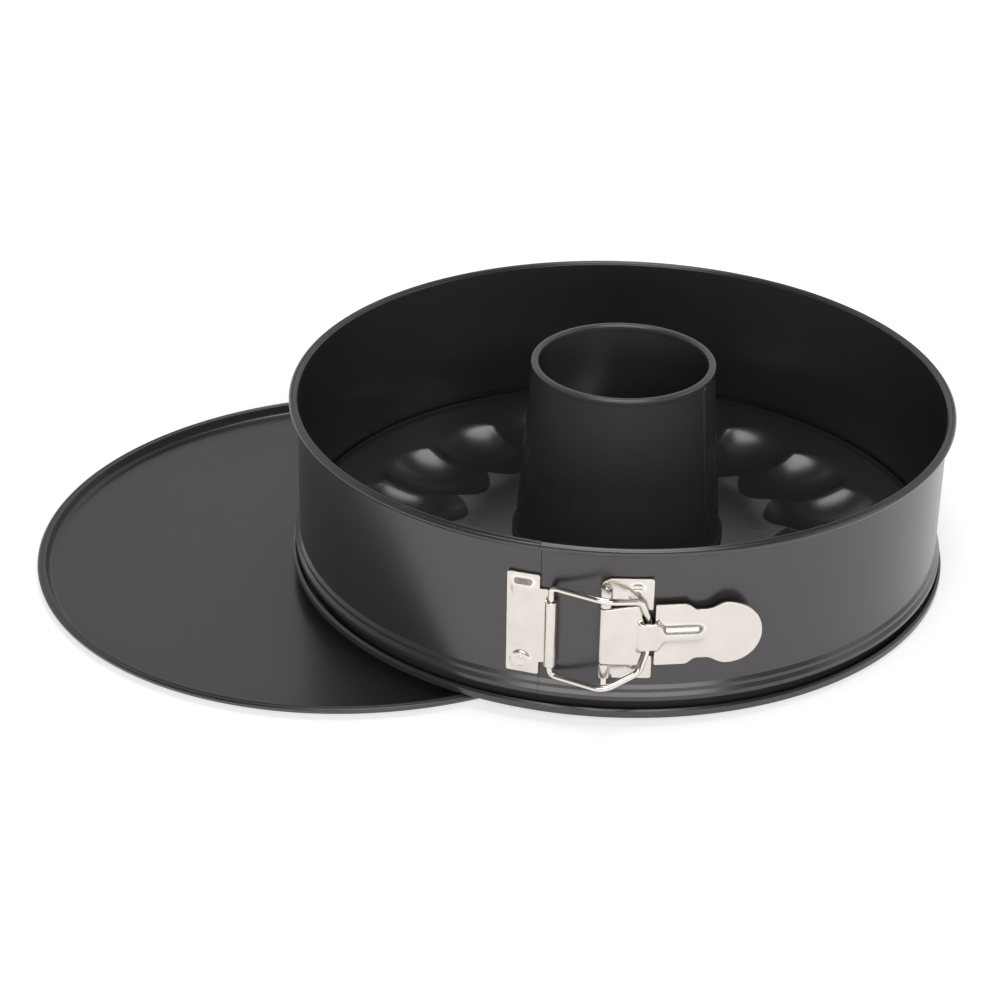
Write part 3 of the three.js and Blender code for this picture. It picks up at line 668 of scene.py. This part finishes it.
def capsule(s, y, s0, s1, half, rise, flat_share=0.0):
    """Height of a pressed bead along y 0 from s0 to s1 with round ends."""
    d = math.hypot(s - min(max(s, s0), s1), y) / half
    if d >= 1:
        return 0.0
    d = max(0.0, (d - flat_share) / (1 - flat_share))
    return rise * (0.5 + 0.5 * math.cos(math.pi * d))


def boss(s, y, s0, y0, radius, rise, flat_share):
    return capsule(s, y - y0, s0, s0, radius, rise, flat_share)


# Keeper plate with its curl round the wire
PLATE_THICK = 1.0
CURL_THICK = 0.9
CURL_SWEEP = 290
CURL_OUT = WIRE_R + 0.2 + CURL_THICK
CURL_MID = CURL_OUT - CURL_THICK / 2
keeper_turn = math.radians(KEEPER_PIVOT_AZ - KEEPER_AZ)
KEEPER_T = (R_OUT + KEEPER_PIVOT_OFF) * math.sin(keeper_turn)
KEEPER_N = (R_OUT + KEEPER_PIVOT_OFF) * math.cos(keeper_turn) - R_OUT
KEEPER_UP = (-0.5, 14.8)
KEEPER_DOWN = (-0.45, -16.1)
KEEPER_UP_RISE = 1.15
KEEPER_DOWN_RISE = 0.75
KEEPER_HALF_WIDE = 6.3
KEEPER_HALF_TALL = 21
LOUVRE_ACROSS = (2.4, 5.8)
LOUVRE_TOP = 19.9
LOUVRE_FALL = 4.4
LOUVRE_SLOPE = (7.5, 15.0)
LOWER_RADIUS = 5.0
LOWER_SLOPE = (-23.0, -15.0)
SHEET_EDGE = 0.3
SHEET_PITCH = 0.42


def keeper_bend(s, y, h):
    """Plate on the band, sinking a little before the sheet curls round the wire."""
    sink = float(smoothstep(s, KEEPER_T - 5, KEEPER_T - 1))
    h *= 1 - (1 - CURL_THICK / PLATE_THICK) * sink
    if s <= KEEPER_T:
        return s, y, GAP + (KEEPER_N - CURL_OUT - GAP) * sink + h
    turn = (s - KEEPER_T) / CURL_MID
    reach = CURL_OUT - h
    return KEEPER_T + reach * math.sin(turn), y, KEEPER_N - reach * math.cos(turn)


def keeper_lift(s, y):
    """Louvre round the upper rivet and a smaller one over the lower rivet, both steeper above."""
    across = 1 - smoothstep(abs(s), *LOUVRE_ACROSS)
    rising = smoothstep(y, *LOUVRE_SLOPE)
    upper = KEEPER_UP_RISE * across * smoothstep(LOUVRE_TOP - y, 0, LOUVRE_FALL) * rising
    lower = boss(s, y, *KEEPER_DOWN, LOWER_RADIUS, KEEPER_DOWN_RISE, 0.62) * smoothstep(y, *LOWER_SLOPE)
    return float(max(upper, lower))


CURL_END = KEEPER_T + CURL_MID * math.radians(CURL_SWEEP)
TAB_END = KEEPER_T - 1.4
keeper_cut = rounded([
    (-KEEPER_HALF_WIDE, -KEEPER_HALF_TALL, 1.1), (KEEPER_HALF_WIDE, -KEEPER_HALF_TALL, 1.1),
    (KEEPER_HALF_WIDE, -15.6, 0.5), (TAB_END, -15.5, 0.5),
    (CURL_END, -15.3, 0.4), (CURL_END, 11.9, 0.4), (TAB_END, 11.9, 0.5), (TAB_END, 15.4, 0.6),
    (KEEPER_HALF_WIDE, 15.4, 0.5), (KEEPER_HALF_WIDE, KEEPER_HALF_TALL, 1.1),
    (-KEEPER_HALF_WIDE, KEEPER_HALF_TALL, 1.1),
], 5)
keeper = add(
    "keeper", *stamped(keeper_cut, PLATE_THICK, SHEET_EDGE, SHEET_PITCH, keeper_lift, keeper_bend),
    latch_matrix(KEEPER_AZ), SHEET_LOOK)
settle(keeper, "ring_left", ["keeper_plate"])


# Lever bracket with two knuckles round the pin
bracket_turn = math.radians(PIN_AZ - BRACKET_AZ)
PIN_T = (R_OUT + PIN_OFF) * math.sin(bracket_turn)
PIN_N = (R_OUT + PIN_OFF) * math.cos(bracket_turn) - R_OUT
KNUCKLE_OUT = PIN_N - GAP
KNUCKLE_MID = KNUCKLE_OUT - PLATE_THICK / 2
KNUCKLE_FROM = BARREL_HALF + GAP
KNUCKLE_TO = KNUCKLE_FROM + 5.9
KNUCKLE_SWEEP = 290
BRACKET_TOP = 22.5
BRACKET_LOW = -19.4
SLOT_HALF = 9.6
STUD_UP = (1.7, 17.0)
STUD_DOWN = (1.7, -14.5)
STUD_BOSS = (4.3, 0.5, 0.5)
BRACKET_RIGHT = 7.8
SLOT_S = 4.2


def bracket_bend(s, y, h):
    if s >= PIN_T:
        return s, y, GAP + h
    turn = (PIN_T - s) / KNUCKLE_MID
    reach = KNUCKLE_OUT - h
    return PIN_T - reach * math.sin(turn), y, PIN_N - reach * math.cos(turn)


def bracket_lift(s, y):
    return max(boss(s, y, *STUD_UP, *STUD_BOSS), boss(s, y, *STUD_DOWN, *STUD_BOSS))


KNUCKLE_END = PIN_T - KNUCKLE_MID * math.radians(KNUCKLE_SWEEP)
bracket_cut = rounded([
    (BRACKET_RIGHT, BRACKET_LOW, 1.1), (BRACKET_RIGHT, -SLOT_HALF, 0.8),
    (SLOT_S, -SLOT_HALF, 0.8), (SLOT_S, SLOT_HALF, 0.8),
    (BRACKET_RIGHT, SLOT_HALF, 0.8), (BRACKET_RIGHT, BRACKET_TOP, 1.1),
    (PIN_T + 1.6, BRACKET_TOP, 2.0), (PIN_T - 3.0, 20.4, 2.0),
    (KNUCKLE_END, KNUCKLE_TO, 0.4), (KNUCKLE_END, KNUCKLE_FROM, 0.4), (-6.6, KNUCKLE_FROM, 0.5),
    (-6.6, -KNUCKLE_FROM, 0.5), (KNUCKLE_END, -KNUCKLE_FROM, 0.4), (KNUCKLE_END, -KNUCKLE_TO, 0.4),
    (-6.8, -KNUCKLE_TO, 0.5), (-6.8, BRACKET_LOW, 1.1),
], 5)
bracket = add(
    "bracket", *stamped(bracket_cut, PLATE_THICK, SHEET_EDGE, SHEET_PITCH, bracket_lift, bracket_bend),
    latch_matrix(BRACKET_AZ), SHEET_LOOK)
settle(bracket, "ring_right", ["lever_bracket"])


# Lever: barrel round the pin, notched neck over the wire, pressed bead, waist and thumb tab
LEVER_THICK = 1.2
LEVER_IN = BARREL_R - LEVER_THICK
BARREL_MID = BARREL_R - LEVER_THICK / 2
BARREL_SWEEP = 300
NECK_HALF = 5.6
NECK_RISE = 1.9
BEAD_RISE = 1.7
BEAD_HALF = 5.0
BEAD_END = 33.3
NOTCH_END = 17.9
ARM_HALF = 12.7
NECK_SPREAD = 7.4
NECK_FLAT = 0.65
NECK_START = (10.2, 12.8)
NECK_TO_BEAD = (18.4, 22.0)
WAIST_IN = 2.45
WAIST_FROM = 29.0
WAIST_FULL = (33.6, 37.0)
WAIST_TO = 43.8
TAB_S = 44.7
TAB_R = 12.8
PIN_PLACE = latch_matrix(PIN_AZ) @ Matrix.Translation((0, 0, PIN_OFF))
LEVER_PLACE = PIN_PLACE @ Matrix.Rotation(math.radians(LEVER_CLOSE), 4, "Y")


def lever_bend(s, y, h):
    if s >= 0:
        return s, y, LEVER_IN + h
    turn = -s / BARREL_MID
    reach = LEVER_IN + h
    return -reach * math.sin(turn), y, reach * math.cos(turn)


def lever_lift(s, y):
    """Height of the neck pressed over the wire and of the bead that runs on from it."""
    narrow = float(smoothstep(s, *NECK_TO_BEAD))
    half = NECK_SPREAD + (BEAD_HALF - NECK_SPREAD) * narrow
    flat_share = NECK_FLAT * (1 - narrow)
    d = math.hypot(max(0.0, s - BEAD_END), y) / half
    d = min(1.0, max(0.0, (d - flat_share) / (1 - flat_share)))
    rise = NECK_RISE + (BEAD_RISE - NECK_RISE) * narrow
    return rise * float(smoothstep(s, *NECK_START)) * (0.5 + 0.5 * math.cos(math.pi * d))


def arm_half(s):
    """Half height of the arm, drawn in to a waist before the thumb tab."""
    drawn = smoothstep(s, WAIST_FROM, WAIST_FULL[0]) * (1 - smoothstep(s, WAIST_FULL[1], WAIST_TO))
    return ARM_HALF - WAIST_IN * float(drawn)


BARREL_END = -BARREL_MID * math.radians(BARREL_SWEEP)
lever_half = [
    (BARREL_END, BARREL_HALF, 0.4), (1.0, BARREL_HALF, 2.0), (11.9, 12.5, 0.8), (13.7, NECK_HALF, 0.6),
    (NOTCH_END, NECK_HALF, 0.6), (NOTCH_END, ARM_HALF, 0.8)]
lever_half += [(s, arm_half(s), 0) for s in np.arange(WAIST_FROM, WAIST_TO - 0.2, 0.6)]
tab_arc = [
    (TAB_S + TAB_R * math.cos(a), TAB_R * math.sin(a), 0) for a in np.radians(np.linspace(-94, 94, 61))]
lever_cut = rounded(
    [(x, -y, r) for x, y, r in lever_half] + tab_arc + list(reversed(lever_half)), 5)
lever = add(
    "lever_plate", *stamped(lever_cut, LEVER_THICK, 0.35, 0.45, lever_lift, lever_bend),
    LEVER_PLACE, SHEET_LOOK)
settle(lever, "lever", ["lever"])


# Round pieces of the latch
def turned(profile, steps=40):
    """Closed body turned about the local y axis from (radius, y) points that start and end on it."""
    inner = profile[1:-1]
    count = len(inner)
    verts = []
    for i in range(steps):
        a = 2 * math.pi * i / steps
        verts += [(r * math.cos(a), y, r * math.sin(a)) for r, y in inner]
    verts += [(0, profile[0][1], 0), (0, profile[-1][1], 0)]
    low = steps * count
    faces = []
    for i in range(steps):
        n = (i + 1) % steps
        for j in range(count - 1):
            a, b = i * count + j, n * count + j
            faces.append((a, a + 1, b + 1, b))
        faces.append((low, i * count, n * count))
        faces.append((low + 1, n * count + count - 1, i * count + count - 1))
    return verts, faces


def dome(radius, height, start, steps=6):
    """Quarter-round end of a turned profile, from its rim to the axis."""
    angles = np.linspace(0, math.pi / 2, steps + 1)
    return [(radius * math.cos(a), start + height * math.sin(a)) for a in angles]


PIN_UP = 19.6
PIN_DOWN = 20.8
PIN_DOME = 0.75


def pin_end(reach):
    tip = dome(1.3, PIN_DOME, reach)
    return [(PIN_R, reach - 0.6), (1.28, reach - 0.2), *tip[:-1], (0, tip[-1][1])]


pin_profile = [(r, -y) for r, y in reversed(pin_end(PIN_DOWN))] + pin_end(PIN_UP)
pin = add("hinge_wire", *turned(pin_profile), PIN_PLACE, WIRE_LOOK)
settle(pin, "ring_right", ["hinge_pin"])


def clinch(name, az, site, body, cad_node, head, cap=None):
    """Rivet through a latch plate and the band: plain head inside, shaped head or stamped cap outside."""
    foot = -SHEET - 0.3
    profile = [(0, foot - 0.5), (1.9, foot - 0.5), (2.2, foot - 0.25), (2.2, foot), (1.2, foot), (1.2, 1.2)]
    verts, faces = turned(profile + head)
    verts = [(x, -z, y) for x, y, z in verts]
    if cap:
        faces += [tuple(len(verts) + i for i in f) for f in cap[1]]
        verts += cap[0]
    place = latch_matrix(az) @ Matrix.Translation((*site, 0))
    return settle(add(name, verts, faces, place, SHEET_LOOK), body, [cad_node])


def rings_head(top):
    """Flat head with two fine raised rings, on a plate face at height top."""
    return [
        (1.9, top - 0.1), (2.2, top + 0.04), (2.15, top + 0.12), (2.0, top + 0.16), (1.85, top + 0.12),
        (1.75, top + 0.05), (1.15, top + 0.05), (1.05, top + 0.12), (0.9, top + 0.14), (0.75, top + 0.06),
        (0.3, top + 0.05), (0, top + 0.05)]


PLATE_TOP = GAP + PLATE_THICK
CAP_THICK = 0.7
cap_cut = rounded([(-2, -1, 0.45), (2, -1, 0.45), (2, 1, 0.45), (-2, 1, 0.45)], 4)
cap = stamped(
    cap_cut, CAP_THICK, 0.3, 0.3, lambda s, y: 0.0,
    lambda s, y, h: (s, y, PLATE_TOP + KEEPER_UP_RISE + 0.1 - CAP_THICK + h))
round_head = [(2.0, 1.6), (2.2, 1.8), (2.15, 2.0), (1.9, 2.15), (1.2, 2.22), (0, 2.25)]
hidden_head = [(1.1, PLATE_TOP + KEEPER_UP_RISE - 0.1), (0, PLATE_TOP + KEEPER_UP_RISE - 0.1)]
clinch("keeper_mark_upper", KEEPER_AZ, KEEPER_UP, "ring_left", "keeper_rivet_upper", hidden_head, cap)
clinch(
    "keeper_mark_lower", KEEPER_AZ, KEEPER_DOWN, "ring_left", "keeper_rivet_lower",
    rings_head(PLATE_TOP + KEEPER_DOWN_RISE))
clinch("bracket_stud_upper", BRACKET_AZ, STUD_UP, "ring_right", "bracket_rivet_upper", round_head)
clinch("bracket_stud_lower", BRACKET_AZ, STUD_DOWN, "ring_right", "bracket_rivet_lower", round_head)


# Wire bail
BAIL_REACH = 15.6
BAIL_BOW = 10.6
SHOULDER_T = 12.8
SHOULDER_N = 3.8
BEND_STEPS = 12


def bail_path():
    """Centre line of the wire in the pin's latch frame: curl, bowed arms, shoulders, end under the neck."""
    turn = math.radians(KEEPER_PIVOT_AZ - PIN_AZ)
    t = (R_OUT + KEEPER_PIVOT_OFF) * math.sin(turn)
    n = (R_OUT + KEEPER_PIVOT_OFF) * math.cos(turn) - R_OUT
    close = math.radians(LEVER_CLOSE)
    end_n = PIN_OFF + (LEVER_IN + 1.1 - WIRE_R) * math.cos(close) - BAIL_REACH * math.sin(close)
    corners = [
        (t, -19.4, n, 3.0), (t, 17.6, n, 3.0),
        (0.3, 18.0, BAIL_BOW, 4.5), (SHOULDER_T, 15.0, SHOULDER_N, 2.8),
        (BAIL_REACH, 6.2, end_n, 1.6), (BAIL_REACH, -6.2, end_n, 1.6),
        (SHOULDER_T, -15.0, SHOULDER_N, 2.8), (0.3, -19.2, BAIL_BOW, 4.5)]
    points = []
    for i, (x, y, z, radius) in enumerate(corners):
        here = Vector((x, y, z))
        before = (Vector(corners[i - 1][:3]) - here).normalized()
        after = (Vector(corners[(i + 1) % len(corners)][:3]) - here).normalized()
        a, b = here + before * radius, here + after * radius
        for k in range(BEND_STEPS + 1):
            s = k / BEND_STEPS
            points.append(a * (1 - s) ** 2 + here * (2 * s * (1 - s)) + b * s ** 2)
    return points


def wire_loop(points, radius, sides=20):
    """Round wire along a closed centre line."""
    verts = []
    count = len(points)
    for i, point in enumerate(points):
        along = (points[(i + 1) % count] - points[i - 1]).normalized()
        side = along.cross(Vector((0, 0, 1))).normalized()
        up = side.cross(along)
        for k in range(sides):
            a = 2 * math.pi * k / sides
            verts.append(tuple(point + side * (radius * math.cos(a)) + up * (radius * math.sin(a))))
    faces = []
    for i in range(count):
        n = (i + 1) % count
        for k in range(sides):
            m = (k + 1) % sides
            faces.append((i * sides + k, n * sides + k, n * sides + m, i * sides + m))
    return verts, faces


bail = add("bail_wire", *wire_loop(bail_path(), WIRE_R), latch_matrix(PIN_AZ), WIRE_LOOK)
settle(bail, "bail", ["wire_bail"])


# Stage: pale floor, plain room light, soft lamps
FLOOR_HALF = 6.0
FLOOR_DROP = 0.0003
GLOW_NEAR = (0.22, 0.58)
GLOW_FAR = (0.5, 1.0)
ROOM_FRONT = (-0.35, 0.2)
ROOM_BACK = (0.35, 0.6)
ROOM_LOW = (0.6, 1.0)
ROOM_HIGH = (0.85, 0.1)


def smooth_value(tree, source, start, end):
    """Value that goes smoothly between two (source, value) points."""
    made = node(tree, "ShaderNodeMapRange", interpolation_type="SMOOTHSTEP")
    made.inputs["From Min"].default_value, made.inputs["To Min"].default_value = start
    made.inputs["From Max"].default_value, made.inputs["To Max"].default_value = end
    tree.links.new(source, made.inputs["Value"])
    return made.outputs["Result"]


def floor_look():
    """Pale floor with its shadow: glows in the camera's view and in reflections, whiter further out."""
    look = bpy.data.materials.new("floor")
    look.use_nodes = True
    tree = look.node_tree
    tree.nodes.clear()
    out = node(tree, "ShaderNodeOutputMaterial")
    lit = node(tree, "ShaderNodeBsdfDiffuse", Color=(0.6, 0.6, 0.6, 1))
    glow = node(tree, "ShaderNodeEmission", Color=(1, 1, 1, 1))
    coords = node(tree, "ShaderNodeTexCoord")
    far = node(tree, "ShaderNodeVectorMath", operation="LENGTH")
    both = node(tree, "ShaderNodeAddShader")
    plain = node(tree, "ShaderNodeBsdfDiffuse", Color=(0.8, 0.8, 0.8, 1))
    path = node(tree, "ShaderNodeLightPath")
    mirrored = node(tree, "ShaderNodeMath", operation="MAXIMUM")
    seen = node(tree, "ShaderNodeMath", operation="MAXIMUM")
    mix = node(tree, "ShaderNodeMixShader")
    tree.links.new(coords.outputs["Object"], far.inputs[0])
    tree.links.new(smooth_value(tree, far.outputs["Value"], GLOW_NEAR, GLOW_FAR), glow.inputs["Strength"])
    tree.links.new(lit.outputs["BSDF"], both.inputs[0])
    tree.links.new(glow.outputs["Emission"], both.inputs[1])
    tree.links.new(path.outputs["Is Glossy Ray"], mirrored.inputs[0])
    tree.links.new(path.outputs["Is Transmission Ray"], mirrored.inputs[1])
    tree.links.new(path.outputs["Is Camera Ray"], seen.inputs[0])
    tree.links.new(mirrored.outputs["Value"], seen.inputs[1])
    tree.links.new(seen.outputs["Value"], mix.inputs["Fac"])
    tree.links.new(plain.outputs["BSDF"], mix.inputs[1])
    tree.links.new(both.outputs["Shader"], mix.inputs[2])
    tree.links.new(mix.outputs["Shader"], out.inputs["Surface"])
    return look


def make_floor():
    mesh = bpy.data.meshes.new("floor")
    half = FLOOR_HALF
    corners = [(-half, -half, 0), (half, -half, 0), (half, half, 0), (-half, half, 0)]
    mesh.from_pydata(corners, [], [(0, 1, 2, 3)])
    mesh.materials.append(floor_look())
    floor = bpy.data.objects.new("floor", mesh)
    floor.location.z = -FLOOR_DROP
    bpy.context.scene.collection.objects.link(floor)


def make_world():
    """Room light, brighter at the back and fading overhead."""
    world = bpy.data.worlds.new("studio")
    bpy.context.scene.world = world
    world.use_nodes = True
    tree = world.node_tree
    tree.nodes.clear()
    out = node(tree, "ShaderNodeOutputWorld")
    coords = node(tree, "ShaderNodeTexCoord")
    split = node(tree, "ShaderNodeSeparateXYZ")
    tree.links.new(coords.outputs["Generated"], split.inputs[0])
    level = node(tree, "ShaderNodeMath", operation="MULTIPLY")
    tree.links.new(smooth_value(tree, split.outputs["Y"], ROOM_FRONT, ROOM_BACK), level.inputs[0])
    tree.links.new(smooth_value(tree, split.outputs["Z"], ROOM_LOW, ROOM_HIGH), level.inputs[1])
    room = node(tree, "ShaderNodeBackground", Color=(1, 1, 1, 1))
    tree.links.new(level.outputs["Value"], room.inputs["Strength"])
    tree.links.new(room.outputs["Background"], out.inputs["Surface"])


def lamp(name, place, target, size, power):
    data = bpy.data.lights.new(name, "AREA")
    data.shape = "RECTANGLE"
    data.size, data.size_y = size
    data.energy = power
    obj = bpy.data.objects.new(name, data)
    obj.location = place
    aim = Vector(target) - Vector(place)
    obj.rotation_euler = aim.to_track_quat("-Z", "Y").to_euler()
    bpy.context.scene.collection.objects.link(obj)
    return obj


make_floor()
make_world()
lamp("top_box", (0.06, -0.05, 1.3), (0.06, -0.05, 0), (0.7, 0.92), 7.4)
lamp("front_box", (0.05, -1.26, 0.79), (0.05, 0.0, 0.04), (1.7, 0.5), 9.0)
lamp("right_box", (1.3, -0.2, 0.6), (0.05, 0.0, 0.03), (0.6, 0.8), 1.2)
# Spreads light on the front without showing as a patch in the coating
fill = lamp("front_fill", (0.03, -1.5, 0.27), (0.05, 0.0, 0.05), (1.0, 0.4), 14.0)
fill.visible_glossy = False


# Camera at the photograph's angle, worked out for a frame of 992 by 992
CAM_FROM_PAN = Vector((-0.02261, -0.91058, 0.51040))
CAM_DOWN = 28.275
CAM_LENS = 91.052
CAM_SHIFT = (-0.06658, 0.00317)
CAM_SENSOR = 36.0
camera_data = bpy.data.cameras.new("camera")
camera_data.lens = CAM_LENS
camera_data.sensor_width = CAM_SENSOR
camera_data.shift_x, camera_data.shift_y = CAM_SHIFT
camera = bpy.data.objects.new("camera", camera_data)
camera.location = PAN.translation + CAM_FROM_PAN
camera.rotation_euler = (math.radians(90 - CAM_DOWN), 0, 0)
bpy.context.scene.collection.objects.link(camera)
bpy.context.scene.camera = camera
bpy.context.scene.view_settings.view_transform = "Standard"
